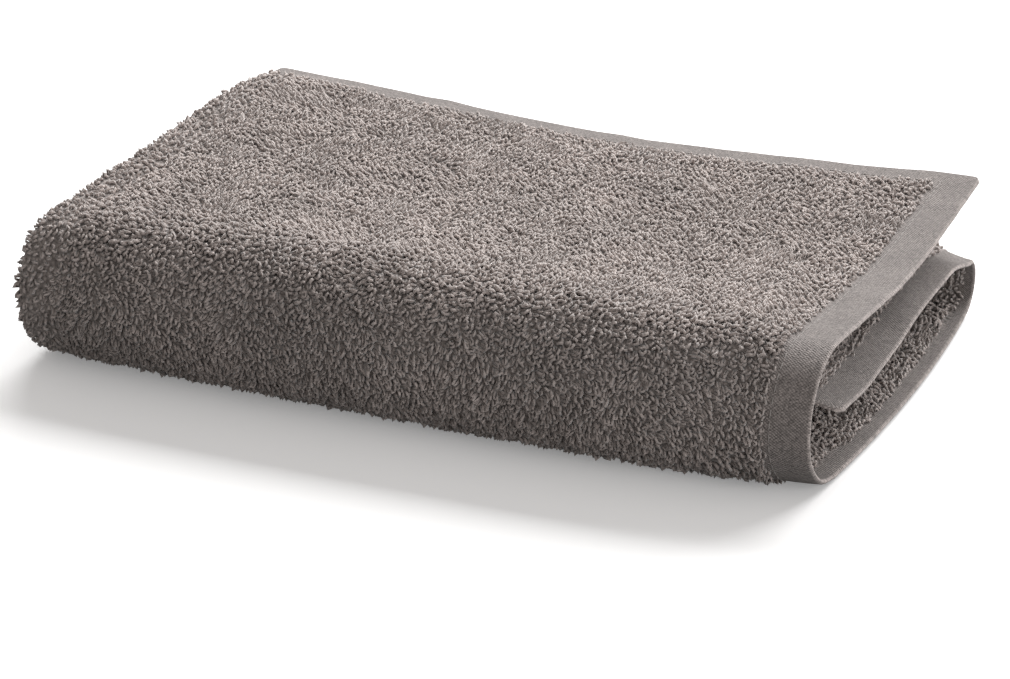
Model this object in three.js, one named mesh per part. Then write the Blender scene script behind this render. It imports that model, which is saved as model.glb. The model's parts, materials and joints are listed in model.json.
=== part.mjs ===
// A terry bath towel, folded in four along its length and in three across.
// It is one cloth with flat-woven hems. Its length lies back and forth in a pack of four plies,
// and the pack is wrapped like a letter C: the top layer runs forward from its free edge at the
// back, turns down round the front fold, runs back as the bottom layer, turns up round the back
// fold, and ends inside as the middle layer.
// Millimetres, +Z up. X runs along the folded length, with the hemmed end at +X.
// The front fold faces -Y. The origin is at the bottom centre.
import * as THREE from "three";

// Folded size
const LENGTH = 366;
const DEPTH = 246;

// Cloth
const PLIES = 4;
const PLY_GAP = 0.03; // between two plies, as a share of the pack's thickness
const LAYER_GAP = 1; // between two layers of the pack
const HEM = 2.6; // thickness of the folded flat-woven hem
const BAND = 17; // width of the end hems, from the cloth's edge to the pile
const SIDE_BAND = 12; // width of the hems of the long sides
const PILE_RISE = 3; // beside the hem, over which the pile comes up to its full height

// Ends of the length
const LEFT = -LENGTH / 2;
const OUTER_FOLD = 10; // reach of the fold that shows at the left end
const NESTED_FOLD = 5; // reach of the fold inside it
const NESTED_INSET = 5.4; // of that fold, from the left end
const HIDDEN_FOLD = 4.6; // reach of the inner fold at the hem end
const HIDDEN_FOLD_INSET = 34; // of that fold, from the hem
const HIDDEN_HEM_INSET = 40; // of the cloth's other hem, beside it
const FOLDED_PLY = 4.2; // thickness of a ply where it turns
const CREASE = 0.5; // reach of the inner face of a tight fold

// Ends of the width
const FAR_EDGE = DEPTH / 2;
const BACK_FOLD_INSET = 1.5; // of the back fold, under the far edge
const BACK_FOLD_DRAW = 4; // more than that, at the hem end
const BACK_FOLD_SQUEEZE = 0.84; // the pack is pressed together where it turns back
const INNER_EDGE = -80; // where the middle layer ends, inside the front fold
const BACK_TURN = 102; // about where the middle layer begins

// A row for each cross-section along the length: the height of the top at its far edge, a
// quarter, a half and three quarters of the way forward, and at the brow of the front fold,
// then how far forward that fold bellies.
const CROSS_SECTIONS = [
  { x: -173, far: 69, back: 72, half: 69, fore: 67, brow: 65, belly: -118 },
  { x: -114, far: 65.5, back: 66, half: 64.5, fore: 65, brow: 66.5, belly: -121 },
  { x: -44, far: 60.3, back: 59.5, half: 59, fore: 61.5, brow: 66, belly: -122.8 },
  { x: 36, far: 58.2, back: 57, half: 57, fore: 60.5, brow: 65, belly: -122.8 },
  { x: 111, far: 60.6, back: 57, half: 55, fore: 58.5, brow: 63.5, belly: -121.5 },
  { x: 182, far: 63.2, back: 56.3, half: 53.5, fore: 56, brow: 60, belly: -113 },
];

// The middle layer has one ply near the hem end, and sinks there by this depth where y is
const SINKING = [
  { y: -80, depth: 8.5 },
  { y: -50, depth: 9 },
  { y: -20, depth: 6.5 },
  { y: 15, depth: 1.8 },
  { y: 45, depth: 0 },
  { y: 77, depth: 1.5 },
  { y: BACK_TURN, depth: 10 },
];
const SINKING_STARTS = 138; // x
const SINKING_ENDS = 180;

// A row for each part of the wrapped course: its facets, where the hem ends along x at the part's
// start, halfway and end, as the layers stand out a little one from another, and which end of the
// part has the hem of the towel's long side.
const COURSE = [
  { part: "top", steps: 9, start: 177.2, halfway: 176.8, end: 177.4, hem: "start" },
  { part: "frontFold", steps: 8, start: 177.4, halfway: 177, end: 179 },
  { part: "bottom", steps: 10, start: 179, halfway: LENGTH / 2, end: 179 },
  { part: "backFold", steps: 7, start: 179, halfway: 179, end: 180.2 },
  { part: "middle", steps: 8, start: 180.2, halfway: 179.6, end: 180, hem: "end" },
];
const PLY_STOPS = [100, 55, 5, -45, -95, -140, LEFT + OUTER_FOLD]; // facets along each ply
const OUTER_FOLD_STEPS = 6;
const TIGHT_FOLD_STEPS = 4;
const NEAR_STOP = 0.03; // share of a part: an even station this near to a hem's is left out

const { lerp, clamp, smoothstep } = THREE.MathUtils;

// A smooth curve through the rows of a table: the value of one column at a place
function through(rows, place, column, at) {
  let i = 0;
  while (i < rows.length - 2 && at > rows[i + 1][place]) i++;
  const slope = (k) => {
    const a = rows[Math.max(k - 1, 0)];
    const b = rows[Math.min(k + 1, rows.length - 1)];
    return (b[column] - a[column]) / (b[place] - a[place]);
  };
  const span = rows[i + 1][place] - rows[i][place];
  const t = clamp((at - rows[i][place]) / span, 0, 1);
  const bend = 3 * t ** 2 - 2 * t ** 3;
  return (
    lerp(rows[i][column], rows[i + 1][column], bend) +
    slope(i) * span * (t ** 3 - 2 * t ** 2 + t) +
    slope(i + 1) * span * (t ** 3 - t ** 2)
  );
}

// The folded towel across its depth, at one place along the length
function crossSection(x) {
  const row = (column) => through(CROSS_SECTIONS, "x", column, x);
  const brow = row("brow");
  const foldCentre = row("belly") + brow / 2;
  const quarter = (FAR_EDGE - foldCentre) / 4;
  // The crown goes on a quarter in front of the brow as its mirror image, so it is level there.
  const crown = ["fore", "brow", "fore", "half", "back", "far"].map((column, k) => ({
    y: foldCentre + (k - 1) * quarter,
    z: row(column),
  }));
  const height = (y) => through(crown, "y", "z", Math.max(y, foldCentre));
  return { brow, foldCentre, height };
}

// Thickness of the pack of plies where the whole towel has this height
function packUnder(height) {
  return (height - 2 * LAYER_GAP) / 3;
}

// 0 in the packed part, and 1 at the hem end
function looseness(x) {
  return smoothstep(x, SINKING_STARTS, SINKING_ENDS);
}

// Top of the middle layer
function middleHeight(section, x, y) {
  const sinking = looseness(x) * through(SINKING, "y", "depth", y);
  return 2 * packUnder(section.height(y)) + LAYER_GAP - sinking;
}

// The outer face of the wrapped pack at x, with the direction from it into the pack as y and z.
// share goes from 0 to 1 over one part of the course.
function outerFace(part, share, x) {
  const section = crossSection(x);
  const backHeight = middleHeight(section, x, BACK_TURN);
  const backReach = FAR_EDGE - BACK_FOLD_INSET - BACK_FOLD_DRAW * looseness(x);
  const backCentre = backReach - backHeight / 2;
  const [across, along] = [Math.sin(Math.PI * share), Math.cos(Math.PI * share)];
  const face = {
    top: () => {
      const y = lerp(FAR_EDGE, section.foldCentre, share);
      return { y, z: section.height(y), inward: [0, -1] };
    },
    frontFold: () => ({
      y: section.foldCentre - (section.brow / 2) * across,
      z: (section.brow / 2) * (1 + along),
      inward: [across, -along],
    }),
    bottom: () => ({ y: lerp(section.foldCentre, backCentre, share), z: 0, inward: [0, 1] }),
    backFold: () => ({
      y: backCentre + (backHeight / 2) * across,
      z: (backHeight / 2) * (1 - along),
      inward: [-across, along],
    }),
    middle: () => {
      const z = middleHeight(section, x, lerp(BACK_TURN, INNER_EDGE, share));
      return { y: lerp(backCentre, INNER_EDGE, share), z, inward: [0, -1] };
    },
  }[part]();
  const squeeze = part === "backFold" ? lerp(1, BACK_FOLD_SQUEEZE, across) : 1;
  return { ...face, pack: squeeze * packUnder(section.height(face.y)) };
}

// A point inside the pack, at a depth from its outer face
function insidePack(part, share, x, depth) {
  const { y, z, inward, pack } = outerFace(part, share, x);
  const distance = depth * pack;
  return new THREE.Vector3(x, y + inward[0] * distance, z + inward[1] * distance);
}

// The hem's place along x at a station: a parabola through the part's three values
function hemEnd(part, share) {
  const { start, halfway, end } = COURSE.find((row) => row.part === part);
  const bow = 4 * halfway - 2 * (start + end);
  return lerp(start, end, share) + bow * share * (1 - share);
}

// The pack of plies along x: pairs of points on the two faces of the cloth, from the outer hem to
// the other end. Depth is 0 at the pack's outer face and 1 at its inner one. hem marks the bands.
function plyPairs(end) {
  const ply = (1 - (PLIES - 1) * PLY_GAP) / PLIES;
  const [first, second, third, fourth] = [0, 1, 2, 3].map((k) => k * (ply + PLY_GAP));
  const pairs = [];

  // Straight stretch: a and b are the depths of the cloth's two faces
  const run = (places, a, b, hem = false) => {
    for (const x of places) pairs.push({ a: { x, depth: a }, b: { x, depth: b }, hem });
  };
  // Half a turn about x = centre, out to side 1 or -1: each face has its reach and its two depths
  const fold = (centre, side, steps, a, b) => {
    for (let k = 0; k <= steps; k++) {
      const turn = (Math.PI * k) / steps;
      const [pa, pb] = [a, b].map(({ reach, from, to }) => ({
        x: centre + side * reach * Math.sin(turn),
        depth: lerp(from, to, (1 - Math.cos(turn)) / 2),
      }));
      pairs.push({ a: pa, b: pb, hem: false });
    }
  };

  const straight = PLY_STOPS.slice(0, -1);
  const back = [...straight].reverse();
  const hiddenFold = end - HIDDEN_FOLD_INSET - HIDDEN_FOLD;
  const hiddenHem = end - HIDDEN_HEM_INSET;
  const nestedFold = LEFT + NESTED_INSET + NESTED_FOLD;

  run([end, end - BAND], first, first + ply, true);
  run([end - BAND - PILE_RISE, hiddenHem, ...straight], first, first + ply);
  fold(
    PLY_STOPS.at(-1),
    -1,
    OUTER_FOLD_STEPS,
    { reach: OUTER_FOLD, from: first, to: fourth + ply },
    { reach: OUTER_FOLD - FOLDED_PLY, from: first + ply, to: fourth },
  );
  run(back, fourth + ply, fourth);
  fold(
    hiddenFold,
    1,
    TIGHT_FOLD_STEPS,
    { reach: HIDDEN_FOLD, from: fourth + ply, to: third },
    { reach: CREASE, from: fourth, to: third + ply },
  );
  run(straight, third, third + ply);
  fold(
    nestedFold,
    -1,
    TIGHT_FOLD_STEPS,
    { reach: CREASE, from: third, to: second + ply },
    { reach: NESTED_FOLD, from: third + ply, to: second },
  );
  run([...back, hiddenHem - BAND - PILE_RISE], second + ply, second);
  run([hiddenHem - BAND, hiddenHem], second + ply, second, true);
  return pairs;
}

// Stations along the wrapped course, with the hems of the long edges marked
function stations() {
  const hemShare = SIDE_BAND / (FAR_EDGE - INNER_EDGE);
  const pileShare = (SIDE_BAND + PILE_RISE) / (FAR_EDGE - INNER_EDGE);
  return COURSE.flatMap(({ part, steps, hem }, row) => {
    const last = row === COURSE.length - 1;
    const even = Array.from({ length: last ? steps + 1 : steps }, (_, k) => k / steps);
    const beside = { start: [hemShare, pileShare], end: [1 - pileShare, 1 - hemShare] }[hem] ?? [];
    const inBand = (share) =>
      (hem === "start" && share <= hemShare) || (hem === "end" && share >= 1 - hemShare);
    const clear = (share) => beside.every((stop) => Math.abs(share - stop) > NEAR_STOP);
    return [...even.filter(clear), ...beside]
      .sort((p, q) => p - q)
      .map((share) => ({ part, share, hem: inBand(share) }));
  });
}

// One station's ring of points: along one face of the cloth and back along the other
function ring({ part, share, hem }) {
  const pairs = plyPairs(hemEnd(part, share));
  const onFace = (pair, face) => {
    const middle = { x: (pair.a.x + pair.b.x) / 2, depth: (pair.a.depth + pair.b.depth) / 2 };
    const pack = outerFace(part, share, middle.x).pack;
    const thin = hem || pair.hem ? (HEM * PLIES) / pack : 1;
    const x = lerp(middle.x, pair[face].x, thin);
    return insidePack(part, share, x, lerp(middle.depth, pair[face].depth, thin));
  };
  const outer = pairs.map((pair) => onFace(pair, "a"));
  const inner = pairs.map((pair) => onFace(pair, "b"));
  return [...outer, ...inner.reverse()];
}

// The closed cloth: rings joined by a wall, with a strip that closes each end
function towelGeometry() {
  const rings = stations().map(ring);
  const size = rings[0].length;
  const faces = [];
  const quad = (a, b, c, d) => faces.push(a, b, c, a, c, d);
  for (let r = 0; r < rings.length - 1; r++) {
    for (let k = 0; k < size; k++) {
      const next = (k + 1) % size;
      const here = r * size;
      const beyond = here + size;
      quad(here + k, here + next, beyond + next, beyond + k);
    }
  }
  const lastRing = (rings.length - 1) * size;
  for (let k = 0; k < size / 2 - 1; k++) {
    const across = size - 1 - k;
    quad(k, across, across - 1, k + 1);
    quad(lastRing + k, lastRing + k + 1, lastRing + across - 1, lastRing + across);
  }
  const geometry = new THREE.BufferGeometry().setFromPoints(rings.flat());
  geometry.setIndex(faces);
  geometry.computeVertexNormals();
  return geometry;
}

const terry = new THREE.MeshStandardMaterial({ color: 0x6f665f, roughness: 0.95, metalness: 0 });
const towel = new THREE.Mesh(towelGeometry(), terry);
towel.name = "folded_towel";

const group = new THREE.Group();
group.add(towel);

export default group;
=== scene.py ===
import json
import math

import bpy
import numpy as np
from mathutils import Matrix, Vector, noise

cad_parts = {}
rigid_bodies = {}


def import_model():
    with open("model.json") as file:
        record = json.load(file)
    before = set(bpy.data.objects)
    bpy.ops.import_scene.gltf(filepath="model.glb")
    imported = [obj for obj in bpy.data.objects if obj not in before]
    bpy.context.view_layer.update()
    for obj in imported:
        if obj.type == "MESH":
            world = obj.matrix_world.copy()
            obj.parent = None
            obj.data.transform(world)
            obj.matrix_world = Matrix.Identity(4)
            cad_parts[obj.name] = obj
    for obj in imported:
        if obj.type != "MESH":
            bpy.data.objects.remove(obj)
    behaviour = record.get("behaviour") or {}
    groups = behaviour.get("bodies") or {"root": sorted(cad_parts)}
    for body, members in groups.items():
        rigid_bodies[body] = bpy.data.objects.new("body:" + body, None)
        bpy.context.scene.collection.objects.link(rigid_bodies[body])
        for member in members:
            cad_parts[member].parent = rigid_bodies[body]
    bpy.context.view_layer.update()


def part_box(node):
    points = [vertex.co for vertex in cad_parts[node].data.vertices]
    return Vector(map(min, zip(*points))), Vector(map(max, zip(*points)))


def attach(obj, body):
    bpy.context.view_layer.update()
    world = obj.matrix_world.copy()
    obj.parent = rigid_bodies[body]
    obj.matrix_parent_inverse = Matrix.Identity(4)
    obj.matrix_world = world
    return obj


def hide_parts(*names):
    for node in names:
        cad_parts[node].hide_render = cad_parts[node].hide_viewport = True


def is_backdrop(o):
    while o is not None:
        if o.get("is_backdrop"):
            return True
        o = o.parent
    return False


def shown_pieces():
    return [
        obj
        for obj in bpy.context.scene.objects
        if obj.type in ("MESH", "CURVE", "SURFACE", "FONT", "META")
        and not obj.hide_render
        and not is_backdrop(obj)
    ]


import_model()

print("frame loaded")

# Camera first: the same place, aim and lens as the picture's
camera = {
    "place": (0.5138, -1.1633, 0.5316),
    "right": (0.91425, 0.40514, 0.0),
    "up": (-0.15635, 0.35282, 0.92254),
    "lens": 110.9,
    "sensor": 36.0,
    "nearest": 0.05,
    "farthest": 20,
}


def makeCamera():
    right, up = Vector(camera["right"]), Vector(camera["up"])
    data = bpy.data.cameras.new("camera")
    data.lens = camera["lens"]
    data.sensor_width = camera["sensor"]
    data.sensor_fit = "HORIZONTAL"
    data.clip_start = camera["nearest"]
    data.clip_end = camera["farthest"]
    placed = bpy.data.objects.new("camera", data)
    bpy.context.scene.collection.objects.link(placed)
    turn = Matrix((right, up, right.cross(up))).transposed()
    placed.matrix_world = Matrix.Translation(camera["place"]) @ turn.to_4x4()
    bpy.context.scene.camera = placed


makeCamera()
print("camera placed")


def addNode(tree, kind, values=None, **settings):
    # values go to the node's inputs: a socket is linked, anything else is typed in
    made = tree.nodes.new(kind)
    for name, setting in settings.items():
        setattr(made, name, setting)
    for name, value in (values or {}).items():
        if isinstance(value, bpy.types.NodeSocket):
            tree.links.new(value, made.inputs[name])
        else:
            made.inputs[name].default_value = value
    return made


def calc(tree, operation, a, b=0.0, c=0.0):
    return addNode(tree, "ShaderNodeMath", {0: a, 1: b, 2: c}, operation=operation).outputs[0]


def smoothstep(at, start, end):
    t = np.clip((at - start) / (end - start), 0, 1)
    return t * t * (3 - 2 * t)


def lerp(a, b, t):
    return a + (b - a) * t


# The folded shape. X runs along the folded length, with the hems at +X and the fold at -X. The front
# fold faces -Y. A pack of four plies lies along X, and is wrapped round like a letter C in Y and Z:
# top, front fold, bottom, back fold, and the middle layer, which ends inside.
towelLow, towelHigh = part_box("folded_towel")
leftEnd = towelLow.x
farEdge = towelHigh.y

folded = {
    "plies": 4,
    "plyGap": 0.03,  # share of the pack's thickness
    "layerGap": 0.001,
    "outerFold": 0.010,  # each fold's reach along x
    "nestedFold": 0.005,
    "nestedInset": 0.0054,
    "hiddenFold": 0.0046,
    "outerSteps": 10,
    "innerSteps": 6,
    "hiddenFoldInset": 0.034,  # from the hem
    "hiddenHemInset": 0.040,
    "foldedPly": 0.0042,
    "crease": 0.0005,  # reach of a fold's inner face
    "backFoldInset": 0.0015,
    "backFoldDraw": 0.004,
    "backFoldSqueeze": 0.84,
    "innerEdge": -0.080,  # y where the middle layer ends
    "backTurn": 0.102,  # y that sets the back fold's height
    "sinkStarts": 0.138,  # x between which the middle layer sinks from under the top
    "sinkEnds": 0.180,
}
crossSections = [  # heights of the top from its far edge to its brow, and how far forward the front bulges
    {"x": -0.173, "far": 0.0690, "back": 0.0720, "half": 0.0690, "fore": 0.0670, "brow": 0.0650,
     "belly": -0.1180},
    {"x": -0.114, "far": 0.0655, "back": 0.0660, "half": 0.0645, "fore": 0.0650, "brow": 0.0665,
     "belly": -0.1210},
    {"x": -0.044, "far": 0.0603, "back": 0.0595, "half": 0.0590, "fore": 0.0615, "brow": 0.0660,
     "belly": -0.1228},
    {"x": 0.036, "far": 0.0582, "back": 0.0570, "half": 0.0570, "fore": 0.0605, "brow": 0.0650,
     "belly": -0.1228},
    {"x": 0.111, "far": 0.0606, "back": 0.0570, "half": 0.0550, "fore": 0.0585, "brow": 0.0635,
     "belly": -0.1215},
    {"x": 0.182, "far": 0.0632, "back": 0.0563, "half": 0.0535, "fore": 0.0560, "brow": 0.0600,
     "belly": -0.1130},
]
sinking = [  # of the middle layer near the hems
    {"y": -0.080, "depth": 0.0085},
    {"y": -0.050, "depth": 0.0090},
    {"y": -0.020, "depth": 0.0065},
    {"y": 0.015, "depth": 0.0018},
    {"y": 0.045, "depth": 0.0},
    {"y": 0.077, "depth": 0.0015},
    {"y": 0.102, "depth": 0.0100},
]
course = [  # where the hem ends along x at a part's start, halfway and end, and its bands' widths
    {"part": "top", "steps": 46, "start": 0.1772, "halfway": 0.1768, "end": 0.1774,
     "outside": 0.0180, "inside": 0.0140},
    {"part": "frontFold", "steps": 24, "start": 0.1774, "halfway": 0.1770, "end": 0.1790,
     "outside": 0.0180, "inside": 0.0120},
    {"part": "bottom", "steps": 26, "start": 0.1790, "halfway": 0.1830, "end": 0.1790,
     "outside": 0.0180, "inside": 0.0090},
    {"part": "backFold", "steps": 14, "start": 0.1790, "halfway": 0.1790, "end": 0.1802,
     "outside": 0.0180, "inside": 0.0050},
    {"part": "middle", "steps": 30, "start": 0.1802, "halfway": 0.1796, "end": 0.1800,
     "outside": 0.0130, "inside": 0.0050},
]
cloth = {
    "ground": 0.0022,  # thickness of the bed under the loops
    "hem": 0.0024,
    "endBand": {"width": 0.0180, "stitches": 0.0158},
    "sideBand": {"width": 0.0120, "stitches": 0.0112},
    "pileRise": 0.003,  # width over which the hem thins to the bed
    "bandBlend": 0.002,
    "edgeRound": 0.0012,
    "edgeLeast": 0.25,  # share of the thickness at the very edge
    "cornerRound": 0.004,
    "groove": 0.72,  # share of the hem's thickness left under the stitches
    "grooveWidth": 0.0009,
    "ripple": 0.0010,
    "rippleSize": 0.034,
    "rippleSeeds": (3, 9),
    "fineRipple": 2.3,  # how much finer the second ripple is, and its strength beside the first's
    "fineShare": 0.5,
    "rippleStarts": (0.010, 0.040),  # distances from the fold at -X
    "rippleUnder": 0.3,  # share of it that the bottom layer has
    "edgeWave": 0.0009,
    "edgeWaveSize": 0.050,
    "edgeWaveReach": 0.030,
    "edgeWaveSeed": 21,
    "outerDepth": 0.11,  # middle of the outer ply, as a share of the pack's thickness
}
# distances from a hem where the cloth has points, closer together on its rounded edge and stitches
endStops = [
    0, 0.0003, 0.0007, 0.0012, 0.004, 0.0075, 0.0105, 0.0135, 0.0158, 0.0175, 0.020, 0.025, 0.033, 0.045,
]
sideStops = [0, 0.0003, 0.0007, 0.0012, 0.0035, 0.0065, 0.0090, 0.0112, 0.0122, 0.015]
outerStops = 24  # stops along the rest of the outer ply
hiddenStops = [-0.140, -0.060, 0.020, 0.095]  # x along the inner plies
hiddenHemStops = [0.020, 0.0172, 0.0012, 0.0004, 0]
hemmedReach = {"top": farEdge + 0.090, "middle": 0.180}  # rough lengths of the parts with a long hem
stopRoom = 0.6  # least room beside a hem's stops, in steps of the part


def hermite(a, b, leave, arrive, t):
    return a + (b - a) * (3 * t**2 - 2 * t**3) + leave * (t**3 - 2 * t**2 + t) + arrive * (t**3 - t**2)


def through(rows, place, column, at):
    # a smooth curve through one column of a table
    places = np.array([row[place] for row in rows])
    values = np.array([row[column] for row in rows])
    before = np.maximum(np.arange(len(rows)) - 1, 0)
    after = np.minimum(np.arange(len(rows)) + 1, len(rows) - 1)
    slopes = (values[after] - values[before]) / (places[after] - places[before])
    i = np.clip(np.searchsorted(places, at) - 1, 0, len(rows) - 2)
    span = places[i + 1] - places[i]
    t = np.clip((at - places[i]) / span, 0, 1)
    return hermite(values[i], values[i + 1], slopes[i] * span, slopes[i + 1] * span, t)


def topHeight(x, y):
    names = ("fore", "brow", "fore", "half", "back", "far")
    knots = np.stack([through(crossSections, "x", name, x) for name in names])
    foldCentre = through(crossSections, "x", "belly", x) + knots[1] / 2
    quarter = (farEdge - foldCentre) / 4
    place = (np.maximum(y, foldCentre) - foldCentre) / quarter + 1
    i = np.clip(place.astype(int), 0, 4)
    knot = lambda k: np.take_along_axis(knots, k[None], 0)[0]
    slope = lambda k: (knot(np.minimum(k + 1, 5)) - knot(np.maximum(k - 1, 0))) / np.where(k == 5, 1, 2)
    return hermite(knot(i), knot(i + 1), slope(i), slope(i + 1), np.clip(place - i, 0, 1))


def middleHeight(x, y):
    loose = smoothstep(x, folded["sinkStarts"], folded["sinkEnds"])
    under = 2 * (topHeight(x, y) - 2 * folded["layerGap"]) / 3 + folded["layerGap"]
    return under - loose * through(sinking, "y", "depth", y)


def packPoint(part, share, x, depth):
    # a point inside the wrapped pack, at a share of its thickness below its outer face
    brow = through(crossSections, "x", "brow", x)
    foldCentre = through(crossSections, "x", "belly", x) + brow / 2
    loose = smoothstep(x, folded["sinkStarts"], folded["sinkEnds"])
    backHeight = middleHeight(x, np.full_like(x, folded["backTurn"]))
    backReach = farEdge - folded["backFoldInset"] - folded["backFoldDraw"] * loose
    backCentre = backReach - backHeight / 2
    across, along = math.sin(math.pi * share), math.cos(math.pi * share)
    squeeze = 1
    if part == "top":
        y = lerp(farEdge, foldCentre, share)
        z, inward = topHeight(x, y), (0, -1)
    elif part == "frontFold":
        y, z, inward = foldCentre - brow / 2 * across, brow / 2 * (1 + along), (across, -along)
    elif part == "bottom":
        y, z, inward = lerp(foldCentre, backCentre, share), np.zeros_like(x), (0, 1)
    elif part == "backFold":
        y, z = backCentre + backHeight / 2 * across, backHeight / 2 * (1 - along)
        inward, squeeze = (-across, along), lerp(1, folded["backFoldSqueeze"], across)
    else:
        y = lerp(backCentre, folded["innerEdge"], share)
        z = middleHeight(x, np.full_like(x, lerp(folded["backTurn"], folded["innerEdge"], share)))
        inward = (0, -1)
    pack = squeeze * (topHeight(x, y) - 2 * folded["layerGap"]) / 3
    return np.stack([x, y + inward[0] * depth * pack, z + inward[1] * depth * pack], 1), pack


def hemEnd(row, share):
    bow = 4 * row["halfway"] - 2 * (row["start"] + row["end"])
    return lerp(row["start"], row["end"], share) + bow * share * (1 - share)


def plyPath(end):
    # pairs of points on the cloth's two faces along x, with the distance from the nearer hem
    ply = (1 - 3 * folded["plyGap"]) / folded["plies"]
    first, second, third, fourth = (k * (ply + folded["plyGap"]) for k in range(4))
    rows = []

    def run(stretch, places, a, b, hemDistance=None):
        for i, x in enumerate(places):
            rows.append((stretch, x, a, x, b, 1 if hemDistance is None else hemDistance[i]))

    def turn(stretch, centre, side, steps, a, b):
        for k in range(steps + 1):
            angle = math.pi * k / steps
            shift, way = side * math.sin(angle), (1 - math.cos(angle)) / 2
            ax, bx = centre + a[0] * shift, centre + b[0] * shift
            rows.append((stretch, ax, lerp(a[1], a[2], way), bx, lerp(b[1], b[2], way), 1))

    outerTurn = leftEnd + folded["outerFold"]
    hiddenHem = end - folded["hiddenHemInset"]
    places = [end - stop for stop in endStops]
    places += list(np.linspace(places[-1], outerTurn, outerStops + 1)[1:-1])
    run("outer", places, first, first + ply, [end - x for x in places])
    turn("outerFold", outerTurn, -1, folded["outerSteps"],
         (folded["outerFold"], first, fourth + ply),
         (folded["outerFold"] - folded["foldedPly"], first + ply, fourth))
    run("fourth", hiddenStops, fourth + ply, fourth)
    turn("hiddenFold", end - folded["hiddenFoldInset"] - folded["hiddenFold"], 1, folded["innerSteps"],
         (folded["hiddenFold"], fourth + ply, third), (folded["crease"], fourth, third + ply))
    run("third", hiddenStops[::-1], third, third + ply)
    turn("nestedFold", leftEnd + folded["nestedInset"] + folded["nestedFold"], -1, folded["innerSteps"],
         (folded["crease"], third, second + ply), (folded["nestedFold"], third + ply, second))
    run("second", hiddenStops, second + ply, second)
    places = [hiddenHem - stop for stop in hiddenHemStops]
    run("hiddenHem", places, second + ply, second, hiddenHemStops)
    return rows


def stations():
    # places along the wrapped course, closer together at the cloth's two long edges
    found = []
    for row in course:
        shares = set(k / row["steps"] for k in range(row["steps"]))
        if row["part"] == "middle":
            shares = {1 - share for share in shares}
        if row["part"] in hemmedReach:
            near = [stop / hemmedReach[row["part"]] for stop in sideStops]
            clear = stopRoom / row["steps"]
            shares = {s for s in shares if s > near[-1] + clear} if row["part"] == "top" else {
                s for s in shares if s < 1 - near[-1] - clear}
            shares |= set(near) if row["part"] == "top" else {1 - s for s in near}
        if row["part"] == "middle":
            shares.add(0.0)
        found += [(row, share) for share in sorted(shares)]
    return found


def edgeShape(distance):
    # thickness near a folded edge, as a share of the full one
    near = np.clip(distance / cloth["edgeRound"], 0, 1)
    return np.maximum(np.sqrt(1 - (1 - near) ** 2), cloth["edgeLeast"])


def clothThickness(distance, band):
    flat = 1 - smoothstep(distance, band["width"], band["width"] + cloth["pileRise"])
    groove = np.exp(-(((distance - band["stitches"]) / cloth["grooveWidth"]) ** 2))
    return lerp(cloth["ground"], cloth["hem"], flat) * lerp(1, cloth["groove"], groove)


def walked(places, depth):
    # lengths along the wrapped course, at this depth in the pack
    centre = [packPoint(row["part"], share, np.zeros(1), np.full(1, depth))[0][0] for row, share in places]
    return np.concatenate([[0], np.cumsum(np.linalg.norm(np.diff(centre, axis=0), axis=1))])


def makeClothGrid():
    # points on both faces, with the developed lengths u and v, for every station and pair
    places = stations()
    v = walked(places, cloth["outerDepth"])
    rings, rims, margins = [], [], []
    for (row, share), along in zip(places, v):
        edge = min(along, v[-1] - along)
        corner = cloth["cornerRound"]
        nick = corner - math.sqrt(corner**2 - max(corner - edge, 0) ** 2)
        path = plyPath(hemEnd(row, share) - nick)
        ax, ad, bx, bd, hem = np.array([pair[1:] for pair in path], float).T
        outer = np.array([pair[0] == "outer" for pair in path])
        mx, md = (ax + bx) / 2, (ad + bd) / 2
        pack = packPoint(row["part"], share, mx, md)[1]
        side = np.full_like(hem, edge)
        thick = np.maximum(clothThickness(hem, cloth["endBand"]), clothThickness(side, cloth["sideBand"]))
        thick = thick * edgeShape(hem) * edgeShape(side)
        thin = thick * folded["plies"] / pack
        # soft unevenness of the outer ply, and a slight wave along its hems
        size, wave = cloth["rippleSize"], cloth["edgeWaveSize"]
        seeds, finer = cloth["rippleSeeds"], cloth["fineRipple"]
        broad = np.array([noise.noise((x / size, along / size, seeds[0])) for x in mx])
        fine = np.array([noise.noise((x * finer / size, along * finer / size, seeds[1])) for x in mx])
        uneven = (broad + cloth["fineShare"] * fine) * cloth["ripple"]
        near = np.exp(-np.minimum(hem, edge) / cloth["edgeWaveReach"])
        waves = np.array([noise.noise((x / wave, along / wave, cloth["edgeWaveSeed"])) for x in mx])
        uneven += near * waves * cloth["edgeWave"]
        if row["part"] == "bottom":
            uneven = np.abs(uneven) * cloth["rippleUnder"]
        starts = [leftEnd + distance for distance in cloth["rippleStarts"]]
        md = md + outer * uneven / pack * smoothstep(mx, *starts)
        faces = []
        for fx, fd in ((ax, ad), (bx, bd)):
            x = lerp(mx, fx, thin)
            depth = md + (fd - (ad + bd) / 2) * thin
            faces.append(packPoint(row["part"], share, x, depth)[0])
        rings.append(faces)
        # how far each face's points lie beyond the flat bands
        beside = side - cloth["sideBand"]["width"]
        after = course[min(course.index(row) + 1, len(course) - 1)]
        widths = lerp(row["outside"], after["outside"], share), lerp(row["inside"], after["inside"], share)
        margins.append([np.minimum(hem - width, beside) for width in widths])
        rims.append([np.minimum(hem, side)] * 2)
    grid = np.array(rings)  # station, face, pair, xyz
    middle = grid.mean(1)
    u = np.concatenate([np.zeros((len(places), 1)), np.cumsum(
        np.linalg.norm(np.diff(middle, axis=1), axis=2), axis=1)], axis=1)
    return {
        "grid": grid,
        "u": u,
        "v": v,
        "margin": np.array(margins),
        "rim": np.array(rims),
        "parts": [row["part"] for row, share in places],
        "stretches": [pair[0] for pair in plyPath(course[0]["start"])],
    }


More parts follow.
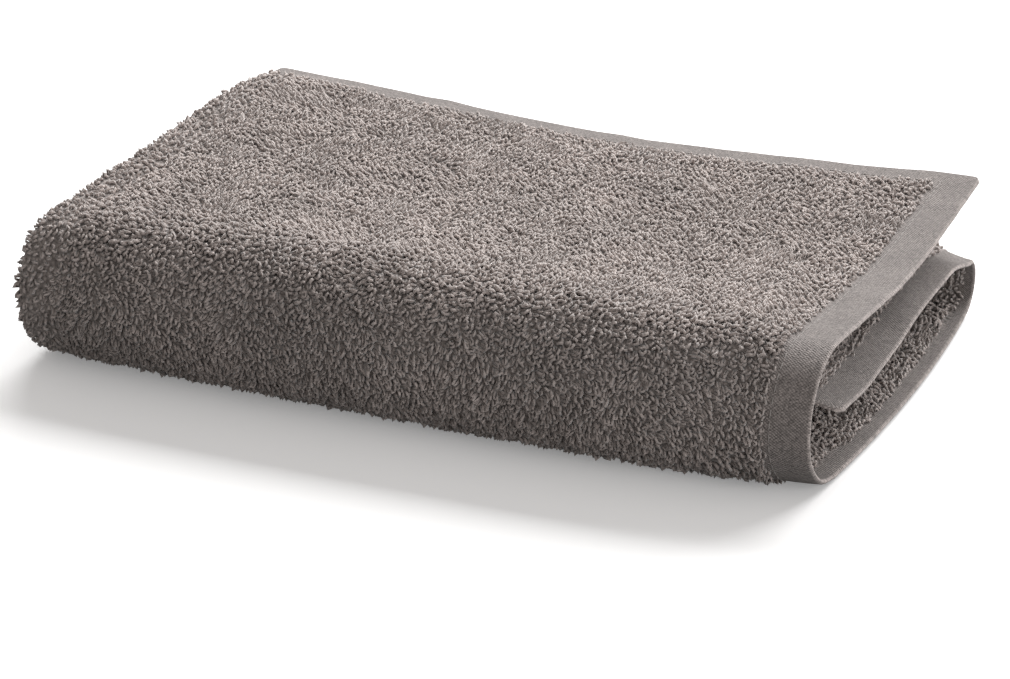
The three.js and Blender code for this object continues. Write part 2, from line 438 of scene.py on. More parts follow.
zones = {
    "none": 0, "topLeft": 1, "topMiddle": 2, "topRight": 3, "frontLeft": 4, "frontRight": 10,
    "leftEnd": 5, "back": 6, "under": 7, "inside": 8, "hiddenFold": 9,
}
insideReach = 0.038  # how far in from the hems the inner faces show
shoulder = -0.070  # y where the top's pile gives way to the front's
topJoins = (-0.066, 0.046)  # x where the top's three fields of pile meet
frontJoin = -0.010
bandOverlap = 0.001  # how far a field of pile reaches onto a flat band


def zoneOf(shape, r, k, side):
    # which field of pile a face belongs to
    part, stretch = shape["parts"][r], shape["stretches"][k]
    if stretch != shape["stretches"][k + 1] and "old" in shape["stretches"][k + 1]:
        stretch = shape["stretches"][k + 1]
    if shape["margin"][r:r + 2, side, k:k + 2].min() < -bandOverlap:
        return zones["none"]
    x, y = shape["grid"][r, side, k, :2]
    fromHem = shape["u"][r, k + 1]
    if side == 1:
        seen = stretch == "outer" and fromHem < insideReach and part in ("frontFold", "bottom", "backFold")
        return zones["inside"] if seen else zones["none"]
    if stretch == "outerFold":
        return zones["leftEnd"]
    if stretch == "hiddenFold":
        return zones["hiddenFold"] if part != "top" else zones["none"]
    if stretch != "outer":
        return zones["none"]
    if part == "frontFold" or (part == "top" and y < shoulder):
        return zones["frontLeft"] if x < frontJoin else zones["frontRight"]
    if part == "top":
        names = ("topLeft", "topMiddle", "topRight")
        return zones[names[int(x >= topJoins[0]) + int(x >= topJoins[1])]]
    if part == "middle":
        return zones["inside"] if fromHem < insideReach else zones["none"]
    return zones["under"] if part == "bottom" else zones["back"]


def makeClothMesh(shape):
    grid = shape["grid"]
    stationCount, _, pairCount, _ = grid.shape
    size = 2 * pairCount
    ring = lambda values: np.concatenate([values[:, 0], values[:, 1, ::-1]], axis=1)
    points = ring(grid).reshape(-1, 3)
    u = np.concatenate([shape["u"], shape["u"][:, ::-1]], axis=1)
    margin, rim = ring(shape["margin"]), ring(shape["rim"])
    faces, zone = [], []
    for r in range(stationCount - 1):
        for k in range(size):
            after = (k + 1) % size
            here, beyond = r * size, (r + 1) * size
            faces.append((here + k, here + after, beyond + after, beyond + k))
            onOuter, onInner = k < pairCount - 1, pairCount <= k < size - 1
            zone.append(zoneOf(shape, r, k, 0) if onOuter else
                        zoneOf(shape, r, size - 2 - k, 1) if onInner else zones["none"])
    last = (stationCount - 1) * size
    for k in range(pairCount - 1):
        across = size - 1 - k
        faces.append((k, across, across - 1, k + 1))
        faces.append((last + k, last + k + 1, last + across - 1, last + across))
        zone += [zones["none"]] * 2
    mesh = bpy.data.meshes.new("towelCloth")
    mesh.from_pydata(points.tolist(), [], faces)
    mesh.attributes.new("zone", "INT", "FACE").data.foreach_set("value", np.array(zone, np.int32))
    band = 1 - smoothstep(margin, 0, cloth["bandBlend"])
    for name, values in (("margin", margin), ("rim", rim), ("band", band)):
        made = mesh.attributes.new(name, "FLOAT", "POINT")
        made.data.foreach_set("value", values.ravel().astype(np.float32))
    # the map has the cloth's own lengths, in metres
    corners = np.zeros(len(mesh.loops), np.int32)
    mesh.loops.foreach_get("vertex_index", corners)
    v = np.repeat(shape["v"], size)
    spread = np.stack([u.ravel()[corners], v[corners]], 1).astype(np.float32)
    mesh.uv_layers.new(name="UVMap").data.foreach_set("uv", spread.ravel())
    mesh.shade_smooth()
    mesh.validate()
    return mesh


shape = makeClothGrid()
clothMesh = makeClothMesh(shape)
clothWidth, clothLength = float(walked(stations(), 0.5)[-1]), float(shape["u"][:, -1].mean())


# Finishes
yarn = {
    "dark": (0.405, 0.351, 0.328),
    "light": (0.585, 0.516, 0.486),
    "patch": 0.035,  # size of a lighter or darker patch
    "patchShades": (0.88, 1.12),
    "root": (0.58, 1.0),  # painted shade at the root of a dark-tinted and of a light-tinted loop: its colour there, as a share of that at its tip
    "rootShadeReach": 0.6,  # share of the height that the painted root shade fades over
    "twistPitch": 0.0011,
    "twistDepth": 0.00008,
    "twistStrength": 0.6,
    "sheen": 0.6,
    "sheenRoughness": 0.5,
    "roughness": 0.95,
}
weave = {
    "colour": (0.252, 0.222, 0.210),
    "across": 0.00080,  # size of one crossing of the threads
    "along": 0.00066,
    "contrast": 0.15,
    "uneven": 0.74,
    "drift": 0.0006,  # how far the threads wander
    "driftScale": 260.0,
    "edge": 2.0,  # painted highlight: how much brighter the folded edge is drawn
    "rimHighlightWidth": 0.0012,
    "bump": 0.00022,
    "patch": 0.02,
    "patchShades": (0.90, 1.10),
    "sheen": 0.3,
    "sheenRoughness": 0.5,
    "roughness": 0.9,
}
ground = {
    "colour": (0.400, 0.350, 0.328),
    "knotSize": 0.0017,
    "bump": 0.0011,
    "middle": 1.25,  # brightness at the middle of a knot, and its painted shade, falling darker towards the rim where the gaps between loops lie
    "knotGapShade": 0.95,
}
specular = 0.25


def newMaterial(name, look):
    material = bpy.data.materials.new(name)
    material.use_nodes = True
    tree = material.node_tree
    shader = tree.nodes["Principled BSDF"]
    shader.inputs["Roughness"].default_value = look["roughness"]
    shader.inputs["Sheen Weight"].default_value = look["sheen"]
    shader.inputs["Sheen Roughness"].default_value = look["sheenRoughness"]
    shader.inputs["Specular IOR Level"].default_value = specular
    return material, tree, shader


def remap(tree, value, fromLow, fromHigh, toLow, toHigh):
    values = {"Value": value, "From Min": fromLow, "From Max": fromHigh, "To Min": toLow, "To Max": toHigh}
    return addNode(tree, "ShaderNodeMapRange", values).outputs[0]


def patches(tree, look):
    # broad soft variation of brightness
    place = addNode(tree, "ShaderNodeTexCoord").outputs["Object"]
    cloud = addNode(tree, "ShaderNodeTexNoise", {
        "Vector": place, "Scale": 1 / look["patch"], "Detail": 3.0})
    return remap(tree, cloud.outputs[0], 0.3, 0.7, *look["patchShades"])


def tinted(tree, colour, strength):
    values = {"Vector": colour, "Scale": strength}
    return addNode(tree, "ShaderNodeVectorMath", values, operation="SCALE").outputs[0]


def attribute(tree, name):
    return addNode(tree, "ShaderNodeAttribute", attribute_name=name).outputs["Fac"]


def makeTerry():
    material, tree, shader = newMaterial("terryYarn", yarn)
    # the tint attribute holds each loop's random tone plus its field's painted light and shade
    tint = attribute(tree, "tint")
    mixed = addNode(tree, "ShaderNodeMix", {
        0: tint, 6: (*yarn["dark"], 1), 7: (*yarn["light"], 1)}, data_type="RGBA")
    # painted shade: each loop is drawn darker towards its root, where shade falls among the loops, and
    # loops with a lower tint get darker roots
    paintedRootShade = remap(tree, tint, 0.0, 1.0, *yarn["root"])
    paintedRootLift = remap(tree, attribute(tree, "rise"), 0.0, yarn["rootShadeReach"], paintedRootShade, 1.0)
    shade = calc(tree, "MULTIPLY", paintedRootLift, patches(tree, yarn))
    tree.links.new(tinted(tree, mixed.outputs[2], shade), shader.inputs["Base Color"])
    # twisted yarn: slanting ridges round each loop
    along = addNode(tree, "ShaderNodeSeparateXYZ", {0: addNode(tree, "ShaderNodeUVMap").outputs[0]})
    turns = calc(tree, "MULTIPLY", along.outputs[0], 1 / yarn["twistPitch"])
    slant = calc(tree, "ADD", turns, along.outputs[1])
    ridge = calc(tree, "SINE", calc(tree, "MULTIPLY", slant, 2 * math.pi))
    bump = addNode(tree, "ShaderNodeBump", {
        "Height": ridge, "Distance": yarn["twistDepth"], "Strength": yarn["twistStrength"]})
    tree.links.new(bump.outputs[0], shader.inputs["Normal"])
    return material


def makeWeave():
    # the flat-woven hems, and the knotted bed under the loops
    material, tree, shader = newMaterial("hemWeave", weave)
    place = addNode(tree, "ShaderNodeTexCoord").outputs["Object"]
    spread = addNode(tree, "ShaderNodeUVMap").outputs[0]
    drift = addNode(tree, "ShaderNodeTexNoise", {
        "Vector": place, "Scale": weave["driftScale"], "Detail": 1.0})
    drift = addNode(tree, "ShaderNodeVectorMath", {
        0: drift.outputs["Color"], 1: (0.5, 0.5, 0.5)}, operation="SUBTRACT")
    drift = addNode(tree, "ShaderNodeVectorMath", {
        0: drift.outputs[0], 1: (weave["drift"],) * 3, 2: spread}, operation="MULTIPLY_ADD")
    cellCount = (1 / weave["across"], 1 / weave["along"], 1)
    cells = addNode(tree, "ShaderNodeVectorMath", {
        0: drift.outputs[0], 1: cellCount}, operation="MULTIPLY").outputs[0]
    parts = addNode(tree, "ShaderNodeSeparateXYZ", {0: cells}).outputs
    over = calc(tree, "MULTIPLY", calc(tree, "SINE", calc(tree, "MULTIPLY", parts[0], math.pi)),
                calc(tree, "SINE", calc(tree, "MULTIPLY", parts[1], math.pi)))
    floored = addNode(tree, "ShaderNodeVectorMath", {0: cells}, operation="FLOOR")
    single = addNode(tree, "ShaderNodeTexWhiteNoise", {"Vector": floored.outputs[0]}).outputs["Value"]
    shade = calc(tree, "MULTIPLY_ADD", over, weave["contrast"], 1.0 - weave["uneven"] / 2)
    shade = calc(tree, "MULTIPLY_ADD", single, weave["uneven"], shade)
    # painted highlight along the folded edge, where light catches the rounded rim
    rim = remap(tree, attribute(tree, "rim"), 0.0, weave["rimHighlightWidth"], weave["edge"], 1.0)
    shade = calc(tree, "MULTIPLY", shade, rim)
    shade = calc(tree, "MULTIPLY", shade, patches(tree, weave))
    knots = addNode(tree, "ShaderNodeTexVoronoi", {"Vector": place, "Scale": 1 / ground["knotSize"]})
    fromMiddle = knots.outputs["Distance"]
    # painted shade: the bed is drawn darker towards each knot's rim, as in the gaps between loops
    paintedKnotShade = calc(tree, "MULTIPLY_ADD", fromMiddle, -ground["knotGapShade"], ground["middle"])
    mixed = addNode(tree, "ShaderNodeMix", {0: attribute(tree, "band")}, data_type="RGBA")
    tree.links.new(tinted(tree, ground["colour"], paintedKnotShade), mixed.inputs[6])
    tree.links.new(tinted(tree, weave["colour"], shade), mixed.inputs[7])
    tree.links.new(mixed.outputs[2], shader.inputs["Base Color"])
    lumps = calc(tree, "MULTIPLY", fromMiddle, -ground["bump"])
    fine = calc(tree, "MULTIPLY", over, weave["bump"])
    raised = addNode(tree, "ShaderNodeMix", {0: attribute(tree, "band"), 2: lumps, 3: fine}).outputs[0]
    bump = addNode(tree, "ShaderNodeBump", {"Height": raised, "Distance": 1.0, "Strength": 1.0})
    tree.links.new(bump.outputs[0], shader.inputs["Normal"])
    return material


def makeThread():
    material, tree, shader = newMaterial("sewingThread", stitches)
    shade = patches(tree, stitches)
    tree.links.new(tinted(tree, stitches["colour"], shade), shader.inputs["Base Color"])
    return material


# Terry loops: a few kinds, strewn over each field of pile
loopKinds = [
    {"height": 0.0040, "spread": 0.0012, "twist": 0.0002, "curl": 0.0003},
    {"height": 0.0036, "spread": 0.0014, "twist": 0.0003, "curl": 0.0009},
    {"height": 0.0044, "spread": 0.0011, "twist": -0.0003, "curl": 0.0002},
    {"height": 0.0033, "spread": 0.0015, "twist": 0.0002, "curl": 0.0012},
    {"height": 0.0041, "spread": 0.0010, "twist": 0.0005, "curl": 0.0006},
    {"height": 0.0037, "spread": 0.0012, "twist": -0.0004, "curl": 0.0015},
]
loopYarn = {
    "radius": 0.00060,
    "rootRadius": 0.00045,
    "sides": 3,
    # half of the hairpin, from its root to its tip, as shares of its spread and height
    "outline": [(0.30, 0.0), (0.50, 0.50), (0.32, 0.94)],
}
pileShape = {
    "leanSpread": 14,  # degrees
    "spin": 0.7,  # radians that a loop may turn from its neighbours' way
    "twist": 0.6,
    "swirlSize": 0.026,
    "pitSize": 0.011,
    "firstRows": 0.005,  # the pile is shorter this near to the flat bands
    "firstTall": 0.5,
    "planted": 0.0006,  # depth of the roots in the bed
    "floor": 0.0001,
    "crowd": 6.0,  # points tried in a square as wide as the spacing
    "sizes": (0.86, 1.14),
    "hollowNoise": (0.36, 0.62),  # noise at the bottom and at the top of the hollows
    "hollowTall": (0.62, 1.12),
    "borderScale": 160.0,
    "borderMiddle": 0.4,
    "borderReach": 3.0,
    "onBand": 0.0008,  # how far loops may stand on a flat band
}
# Leans are degrees from upright. A direction of 0 is forward on top and down on the front.
# A field's last number shifts its loops' tint: painted light on top and inside, painted shade on the front.
pileLooks = {
    "top": {"lean": 62, "direction": 30, "swirl": 560, "wide": 0.86, "tall": 0.8,
            "ragged": 0.003, "paintedShading": 0.25},
    "front": {"lean": 74, "direction": 38, "swirl": 270, "wide": 1.16, "tall": 0.94,
              "ragged": 0.0005, "paintedShading": -0.4},
    "end": {"lean": 76, "direction": 45, "swirl": 400, "wide": 1.2, "tall": 0.64,
            "ragged": 0.0005, "paintedShading": 0},
    "back": {"lean": 70, "direction": 45, "swirl": 400, "wide": 1.25, "tall": 0.9,
             "ragged": 0.001, "paintedShading": 0},
    "under": {"lean": 78, "direction": 0, "swirl": 560, "wide": 1.3, "tall": 0.8,
              "ragged": 0.001, "paintedShading": 0},
    "inside": {"lean": 58, "direction": 60, "swirl": 560, "wide": 1, "tall": 0.85,
               "ragged": 0.001, "paintedShading": 0.5},
}
pile = {
    "topLeft": {"look": "top", "spacing": 0.00170, "seed": 11},
    "topMiddle": {"look": "top", "spacing": 0.00170, "seed": 12},
    "topRight": {"look": "top", "spacing": 0.00170, "seed": 13},
    "frontLeft": {"look": "front", "spacing": 0.00172, "seed": 14},
    "frontRight": {"look": "front", "spacing": 0.00172, "seed": 20},
    "leftEnd": {"look": "end", "spacing": 0.00240, "seed": 15},
    "back": {"look": "back", "spacing": 0.00250, "seed": 16},
    "under": {"look": "under", "spacing": 0.00800, "seed": 17},
    "inside": {"look": "inside", "spacing": 0.00190, "seed": 18},
    "hiddenFold": {"look": "end", "spacing": 0.00600, "seed": 19},
}
stitches = {
    "pitch": 0.0050,
    "length": 0.0037,
    "radius": 0.00030,
    "sides": 5,
    "rings": 5,
    "proud": 0.00008,
    "colour": (0.34, 0.315, 0.30),
    "patch": 0.006,
    "patchShades": (0.85, 1.1),
    "sheen": 0.2,
    "sheenRoughness": 0.4,
    "roughness": 0.8,
}


def makeLoop(name, kind):
    # a hairpin of yarn, standing on its two roots
    sides, outline = loopYarn["sides"], loopYarn["outline"]
    outline = np.array(outline + [(-x, z) for x, z in reversed(outline)])
    bends = len(outline) - 1
    points, faces, rise, spread = [], [], [], []
    reach = outline[:, 1]
    y = kind["twist"] * np.sign(outline[:, 0]) * reach + kind["curl"] * reach ** 2
    path = np.stack([kind["spread"] * outline[:, 0], y, kind["height"] * reach], 1)
    tangent = np.gradient(path, axis=0)
    tangent /= np.linalg.norm(tangent, axis=1)[:, None]
    walked = np.concatenate([[0], np.cumsum(np.linalg.norm(np.diff(path, axis=0), axis=1))])
    for i, (at, along) in enumerate(zip(path, tangent)):
        side = np.cross(along, (0, 1, 0))
        side /= np.linalg.norm(side)
        other = np.cross(along, side)
        radius = loopYarn["rootRadius"] if i in (0, bends) else loopYarn["radius"]
        for k in range(sides):
            angle = 2 * math.pi * k / sides
            points.append(at + radius * (math.cos(angle) * side + math.sin(angle) * other))
            rise.append(at[2] / kind["height"])
    for i in range(bends):
        for k in range(sides):
            after = (k + 1) % sides
            faces.append((i * sides + k, i * sides + after, (i + 1) * sides + after, (i + 1) * sides + k))
            spread += [(walked[i], k / sides), (walked[i], (k + 1) / sides),
                       (walked[i + 1], (k + 1) / sides), (walked[i + 1], k / sides)]
    for start, order in ((0, -1), (bends * sides, 1)):
        faces.append([start + k for k in range(sides)][::order])
        spread += [(walked[0 if start == 0 else -1], k / sides) for k in range(sides)][::order]
    mesh = bpy.data.meshes.new(name)
    mesh.from_pydata([tuple(p) for p in points], [], faces)
    mesh.uv_layers.new(name="UVMap").data.foreach_set("uv", np.array(spread, np.float32).ravel())
    mesh.attributes.new("rise", "FLOAT", "POINT").data.foreach_set("value", np.array(rise, np.float32))
    return bpy.data.objects.new(name, mesh)


def newTree(name, inputs):
    tree = bpy.data.node_groups.new(name, "GeometryNodeTree")
    tree.interface.new_socket("Geometry", in_out="INPUT", socket_type="NodeSocketGeometry")
    for label, kind in inputs.items():
        tree.interface.new_socket(label, in_out="INPUT", socket_type="NodeSocket" + kind)
    tree.interface.new_socket("Geometry", in_out="OUTPUT", socket_type="NodeSocketGeometry")
    return tree, addNode(tree, "NodeGroupInput").outputs


def finishTree(tree, instances, material):
    real = addNode(tree, "GeometryNodeRealizeInstances", {"Geometry": instances})
    smooth = addNode(tree, "GeometryNodeSetShadeSmooth", {"Geometry": real.outputs[0]})
    painted = addNode(tree, "GeometryNodeSetMaterial", {
        "Geometry": smooth.outputs[0], "Material": material})
    addNode(tree, "NodeGroupOutput", {"Geometry": painted.outputs[0]})
    return tree


def randomIn(tree, low, high, seed, kind="FLOAT"):
    made = addNode(tree, "FunctionNodeRandomValue", None, data_type=kind)
    sockets = {"FLOAT": (2, 3, 1), "INT": (4, 5, 2)}[kind]
    made.inputs[sockets[0]].default_value = low
    made.inputs[sockets[1]].default_value = high
    tree.links.new(seed, made.inputs["Seed"])
    return made.outputs[sockets[2]]


def turned(tree, rotation, axis, angle):
    by = addNode(tree, "FunctionNodeAxisAngleToRotation", {"Axis": axis, "Angle": angle})
    values = {"Rotation": rotation, "Rotate By": by.outputs[0]}
    return addNode(tree, "FunctionNodeRotateRotation", values, rotation_space="LOCAL").outputs[0]


def makePileTree():
    tree, given = newTree("terryPile", {
        "Zone": "Int", "Spacing": "Float", "Seed": "Int", "Lean": "Float", "Lean Spread": "Float",
        "Direction": "Float", "Swirl": "Float", "Swirl Size": "Float", "Pit Size": "Float",
        "Wide": "Float", "Tall": "Float", "Painted Shading": "Float", "Ragged": "Float", "Planted": "Float",
        "Floor": "Float", "Loops": "Collection", "Material": "Material",
    })
    seeds = [calc(tree, "ADD", given["Seed"], 100.0 * k) for k in range(1, 7)]
    zone = addNode(tree, "GeometryNodeInputNamedAttribute", {"Name": "zone"}, data_type="INT")
    chosen = addNode(tree, "FunctionNodeCompare", {2: zone.outputs[0], 3: given["Zone"]},
                     data_type="INT", operation="EQUAL")
    square = calc(tree, "MULTIPLY", given["Spacing"], given["Spacing"])
    crowd = calc(tree, "DIVIDE", pileShape["crowd"], square)
    strewn = addNode(tree, "GeometryNodeDistributePointsOnFaces", {
        "Mesh": given["Geometry"], "Selection": chosen.outputs[0], "Distance Min": given["Spacing"],
        "Density Max": crowd, "Seed": given["Seed"]}, distribute_method="POISSON")
    place = addNode(tree, "GeometryNodeInputPosition").outputs[0]
    upright = addNode(tree, "FunctionNodeAlignRotationToVector", {
        "Vector": strewn.outputs["Normal"]}, axis="Z")
    level = addNode(tree, "FunctionNodeAlignRotationToVector", {
        "Rotation": upright.outputs[0], "Vector": (1, 0, 0)}, axis="X", pivot_axis="Z")
    # neighbouring loops lean the same way, in swirls
    finer = calc(tree, "DIVIDE", 1.0, given["Swirl Size"])
    swirl = addNode(tree, "ShaderNodeTexNoise", {"Vector": place, "Scale": finer, "Detail": 1.0})
    turnBy = calc(tree, "MULTIPLY", calc(tree, "SUBTRACT", swirl.outputs[0], 0.5), given["Swirl"])
    spin = randomIn(tree, -pileShape["spin"], pileShape["spin"], seeds[0])
    turnBy = calc(tree, "ADD", calc(tree, "ADD", turnBy, given["Direction"]), spin)
    rotation = turned(tree, level.outputs[0], (0, 0, 1), turnBy)
    spread = calc(tree, "MULTIPLY", given["Lean Spread"], randomIn(tree, -1.0, 1.0, seeds[1]))
    rotation = turned(tree, rotation, (1, 0, 0), calc(tree, "ADD", given["Lean"], spread))
    twist = randomIn(tree, -pileShape["twist"], pileShape["twist"], seeds[2])
    rotation = turned(tree, rotation, (0, 0, 1), twist)
    # hollows in the pile, where the loops are lower
    hollow = addNode(tree, "ShaderNodeTexNoise", {
        "Vector": place, "Scale": calc(tree, "DIVIDE", 1.0, given["Pit Size"]), "Detail": 2.0})
    tall = remap(tree, hollow.outputs[0], *pileShape["hollowNoise"], *pileShape["hollowTall"])
    size = randomIn(tree, *pileShape["sizes"], seeds[3])
    wide = calc(tree, "MULTIPLY", size, given["Wide"])
    tall = calc(tree, "MULTIPLY", calc(tree, "MULTIPLY", size, tall), given["Tall"])
    margin = addNode(tree, "GeometryNodeInputNamedAttribute", {"Name": "margin"}, data_type="FLOAT")
    margin = margin.outputs[0]
    growth = remap(tree, margin, 0.0, pileShape["firstRows"], pileShape["firstTall"], 1.0)
    tall = calc(tree, "MULTIPLY", tall, growth)
    scale = addNode(tree, "ShaderNodeCombineXYZ", {0: wide, 1: wide, 2: tall})
    # the pile's border against the flat bands is a little ragged
    rough = addNode(tree, "ShaderNodeTexNoise", {
        "Vector": place, "Scale": pileShape["borderScale"], "Detail": 1.0})
    ragged = calc(tree, "MULTIPLY", given["Ragged"], pileShape["borderReach"])
    uneven = calc(tree, "SUBTRACT", rough.outputs[0], pileShape["borderMiddle"])
    border = calc(tree, "MULTIPLY", uneven, ragged)
    kept = calc(tree, "GREATER_THAN", calc(tree, "ADD", margin, pileShape["onBand"]), border)
    kinds = addNode(tree, "GeometryNodeCollectionInfo", {
        "Collection": given["Loops"], "Separate Children": True, "Reset Children": True})
    planted = addNode(tree, "GeometryNodeInstanceOnPoints", {
        "Points": strewn.outputs["Points"], "Selection": kept,
        "Instance": kinds.outputs[0], "Pick Instance": True,
        "Instance Index": randomIn(tree, 0, len(loopKinds) - 1, seeds[4], "INT"),
        "Rotation": rotation, "Scale": scale.outputs[0]})
    # a loop's tint is a random tone plus its field's painted light and shade
    shade = calc(tree, "ADD", randomIn(tree, 0.0, 1.0, seeds[5]), given["Painted Shading"])
    tint = addNode(tree, "GeometryNodeStoreNamedAttribute", {
        "Geometry": planted.outputs[0], "Name": "tint", "Value": shade},
        data_type="FLOAT", domain="INSTANCE")
    down = addNode(tree, "ShaderNodeCombineXYZ", {2: calc(tree, "MULTIPLY", given["Planted"], -1.0)})
    sunk = addNode(tree, "GeometryNodeTranslateInstances", {
        "Instances": tint.outputs[0], "Translation": down.outputs[0]})
    sunk.inputs["Local Space"].default_value = True
    # loops that would reach below the floor are pressed flat on it
    real = addNode(tree, "GeometryNodeRealizeInstances", {"Geometry": sunk.outputs[0]})
    height = addNode(tree, "ShaderNodeSeparateXYZ", {0: place}).outputs
    raised = addNode(tree, "ShaderNodeCombineXYZ", {
        0: height[0], 1: height[1], 2: calc(tree, "MAXIMUM", height[2], given["Floor"])})
    pressed = addNode(tree, "GeometryNodeSetPosition", {
        "Geometry": real.outputs[0], "Position": raised.outputs[0]})
    return finishTree(tree, pressed.outputs[0], given["Material"])


def makeStitchTree():
    tree, given = newTree("seamStitches", {"Pitch": "Float", "Stitch": "Object", "Material": "Material"})
    line = addNode(tree, "GeometryNodeMeshToCurve", {"Mesh": given["Geometry"]})
    even = addNode(tree, "GeometryNodeResampleCurve", {
        "Curve": line.outputs[0], "Length": given["Pitch"]}, mode="LENGTH")
    along = addNode(tree, "GeometryNodeInputTangent").outputs[0]
    rotation = addNode(tree, "FunctionNodeAlignRotationToVector", {"Vector": along}, axis="X")
    stitch = addNode(tree, "GeometryNodeObjectInfo", {"Object": given["Stitch"]})
    sewn = addNode(tree, "GeometryNodeInstanceOnPoints", {
        "Points": even.outputs[0], "Instance": stitch.outputs["Geometry"], "Rotation": rotation.outputs[0]})
    return finishTree(tree, sewn.outputs[0], given["Material"])


def grown(name, mesh, tree, inputs):
    # what the tree makes on a mesh, as a plain piece
    carrier = bpy.data.objects.new(name, mesh)
    bpy.context.scene.collection.objects.link(carrier)
    modifier = carrier.modifiers.new(name, "NODES")
    modifier.node_group = tree
    sockets = {item.name: item.identifier for item in tree.interface.items_tree if item.in_out == "INPUT"}
    for label, value in inputs.items():
        modifier[sockets[label]] = value
    carrier.update_tag()
    graph = bpy.context.evaluated_depsgraph_get()
    made = bpy.data.meshes.new_from_object(carrier.evaluated_get(graph))
    bpy.data.objects.remove(carrier)
    made.name = name
    piece = bpy.data.objects.new(name, made)
    bpy.context.scene.collection.objects.link(piece)
    return piece


def makePile(material):
    kinds = bpy.data.collections.new("loopKinds")
    for i, kind in enumerate(loopKinds):
        kinds.objects.link(makeLoop("loop" + str(i), kind))
    tree = makePileTree()
    fields = []
    for name, field in pile.items():
        look = pileLooks[field["look"]]
        piece = grown("pile_" + name, clothMesh, tree, {
            "Zone": zones[name],
            "Spacing": field["spacing"],
            "Seed": field["seed"],
            "Lean": math.radians(look["lean"]),
            "Lean Spread": math.radians(pileShape["leanSpread"]),
            "Direction": math.radians(look["direction"]),
            "Swirl": math.radians(look["swirl"]),
            "Swirl Size": pileShape["swirlSize"],
            "Pit Size": pileShape["pitSize"],
            "Wide": look["wide"],
            "Tall": look["tall"],
            "Painted Shading": look["paintedShading"],
            "Ragged": look["ragged"],
            "Planted": pileShape["planted"],
            "Floor": pileShape["floor"],
            "Loops": kinds,
            "Material": material,
        })
        fields.append(piece)
        corners = 2 * len(loopYarn["outline"]) * loopYarn["sides"]
        print(piece.name, len(piece.data.vertices) // corners, "loops")
    for loop in list(kinds.objects):
        bpy.data.objects.remove(loop)
    bpy.data.collections.remove(kinds)
    return fields


def makeStitchMesh():
    # a short spindle of thread, lying along x
    points, faces = [], []
    sides, rings = stitches["sides"], stitches["rings"]
    for i in range(rings):
        way = lerp(-0.985, 0.985, i / (rings - 1))
        radius = stitches["radius"] * (1 - abs(way) ** 3) ** 0.5
        for k in range(sides):
            angle = 2 * math.pi * k / sides
            x = way * stitches["length"] / 2
            points.append((x, radius * math.cos(angle), radius * math.sin(angle)))
    for i in range(rings - 1):
        for k in range(sides):
            after = (k + 1) % sides
            faces.append((i * sides + k, i * sides + after, (i + 1) * sides + after, (i + 1) * sides + k))
    faces += [tuple(range(sides)), tuple((rings - 1) * sides + k for k in reversed(range(sides)))]
    mesh = bpy.data.meshes.new("stitch")
    mesh.from_pydata(points, [], [face[::-1] for face in faces])
    return bpy.data.objects.new("stitch", mesh)


def seamLines():
    # along the end hem on both faces, and along the far hem on top
    grid = shape["grid"]
    k = endStops.index(cloth["endBand"]["stitches"])
    out = grid[:, 0] - grid[:, 1]
    out = out / np.linalg.norm(out, axis=2)[:, :, None] * stitches["proud"]
    r = sideStops.index(cloth["sideBand"]["stitches"])
    outer = shape["stretches"].count("outer")
    return [grid[r:, 0, k] + out[r:, k], grid[r:, 1, k] - out[r:, k], grid[r, 0, k:outer] + out[r, k:outer]]


def makeStitches(material):
    lines = seamLines()
    points = np.concatenate(lines)
    edges, start = [], 0
    for line in lines:
        edges += [(start + i, start + i + 1) for i in range(len(line) - 1)]
        start += len(line)
    mesh = bpy.data.meshes.new("seamLines")
    mesh.from_pydata(points.tolist(), edges, [])
    stitch = makeStitchMesh()
    piece = grown("hemStitches", mesh, makeStitchTree(), {
        "Pitch": stitches["pitch"], "Stitch": stitch, "Material": material})
    bpy.data.objects.remove(stitch)
    return piece


towelCloth = bpy.data.objects.new("towelCloth", clothMesh)
terry, hemWeave, thread = makeTerry(), makeWeave(), makeThread()
pileFields = makePile(terry)
hemStitches = makeStitches(thread)
clothMesh.materials.append(hemWeave)
bpy.context.scene.collection.objects.link(towelCloth)
print("stitches", len(hemStitches.data.polygons), "faces")


# Studio
studio = {
    "floorSize": 8.0,
    "floorRoughness": 0.9,
    "floorSeen": 1.0,  # how pale the camera sees it
    "floorGlow": 0.22,
    "floorBounce": 0.25,  # how pale the light finds it
    "backdrop": 1.05,
    "surround": 0.32,
    "surroundColour": (1.0, 0.955, 0.925),
    "keyPower": 62.0,
    "keySize": (2.4, 0.9),
    "keyPlace": (0.0, 1.32, 1.14),
    "fillPower": 8.0,
    "fillSize": (1.2, 0.9),
    "fillPlace": (1.45, -0.75, 0.55),
    "aim": (0, 0, 0.03),
}


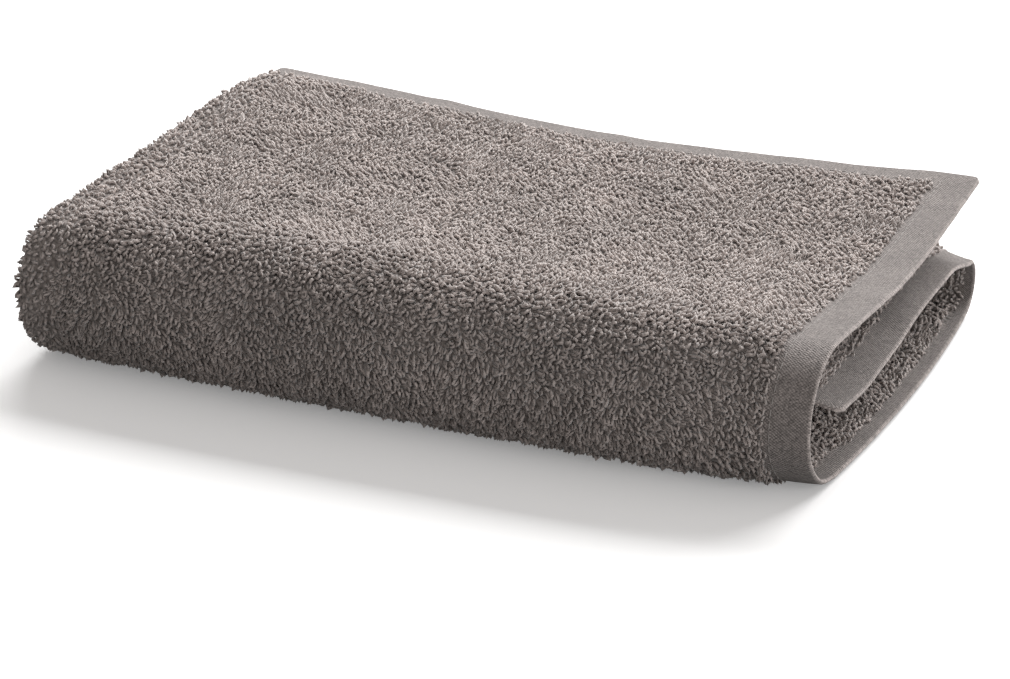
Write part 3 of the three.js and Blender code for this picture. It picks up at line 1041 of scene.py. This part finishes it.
def makeFloor():
    half = studio["floorSize"] / 2
    mesh = bpy.data.meshes.new("floor")
    corners = [(-half, -half, 0), (half, -half, 0), (half, half, 0), (-half, half, 0)]
    mesh.from_pydata(corners, [], [(0, 1, 2, 3)])
    material = bpy.data.materials.new("paleFloor")
    material.use_nodes = True
    tree = material.node_tree
    shader = tree.nodes["Principled BSDF"]
    shader.inputs["Roughness"].default_value = studio["floorRoughness"]
    seen = addNode(tree, "ShaderNodeLightPath").outputs["Is Camera Ray"]
    bounce = studio["floorBounce"]
    grey = calc(tree, "MULTIPLY_ADD", seen, studio["floorSeen"] - bounce, bounce)
    tree.links.new(addNode(tree, "ShaderNodeCombineXYZ", {0: grey, 1: grey, 2: grey}).outputs[0],
                   shader.inputs["Base Color"])
    shader.inputs["Emission Color"].default_value = (1, 1, 1, 1)
    tree.links.new(calc(tree, "MULTIPLY", seen, studio["floorGlow"]), shader.inputs["Emission Strength"])
    mesh.materials.append(material)
    floor = bpy.data.objects.new("floor", mesh)
    bpy.context.scene.collection.objects.link(floor)
    floor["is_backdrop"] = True


def makeLight(name):
    data = bpy.data.lights.new(name, "AREA")
    data.shape = "RECTANGLE"
    data.size, data.size_y = studio[name + "Size"]
    data.energy = studio[name + "Power"]
    light = bpy.data.objects.new(name, data)
    bpy.context.scene.collection.objects.link(light)
    light.location = studio[name + "Place"]
    aim = Vector(studio["aim"]) - Vector(studio[name + "Place"])
    light.rotation_euler = aim.to_track_quat("-Z", "Y").to_euler()


def makeWorld():
    world = bpy.data.worlds.new("studio")
    bpy.context.scene.world = world
    world.use_nodes = True
    tree = world.node_tree
    seen = addNode(tree, "ShaderNodeLightPath").outputs["Is Camera Ray"]
    surround = studio["surround"]
    strength = calc(tree, "MULTIPLY_ADD", seen, studio["backdrop"] - surround, surround)
    backdrop = tree.nodes["Background"]
    tint = addNode(tree, "ShaderNodeMix", {0: seen}, data_type="RGBA")
    tint.inputs[6].default_value = (*studio["surroundColour"], 1)
    tint.inputs[7].default_value = (1, 1, 1, 1)
    tree.links.new(tint.outputs[2], backdrop.inputs["Color"])
    tree.links.new(strength, backdrop.inputs["Strength"])
    bpy.context.scene.view_settings.view_transform = "Standard"


makeFloor()
makeLight("key")
makeLight("fill")
makeWorld()
print("studio ready")

# The cloth is one sheet, with its pile and stitches on it
slots = [(towelCloth, "hem"), (hemStitches, "thread")] + [(field, "terry") for field in pileFields]
for piece, slot in slots:
    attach(piece, "root")
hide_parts("folded_towel")

triangles = sum(len(face.vertices) - 2 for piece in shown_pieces() for face in piece.data.polygons)
print("triangles", triangles)
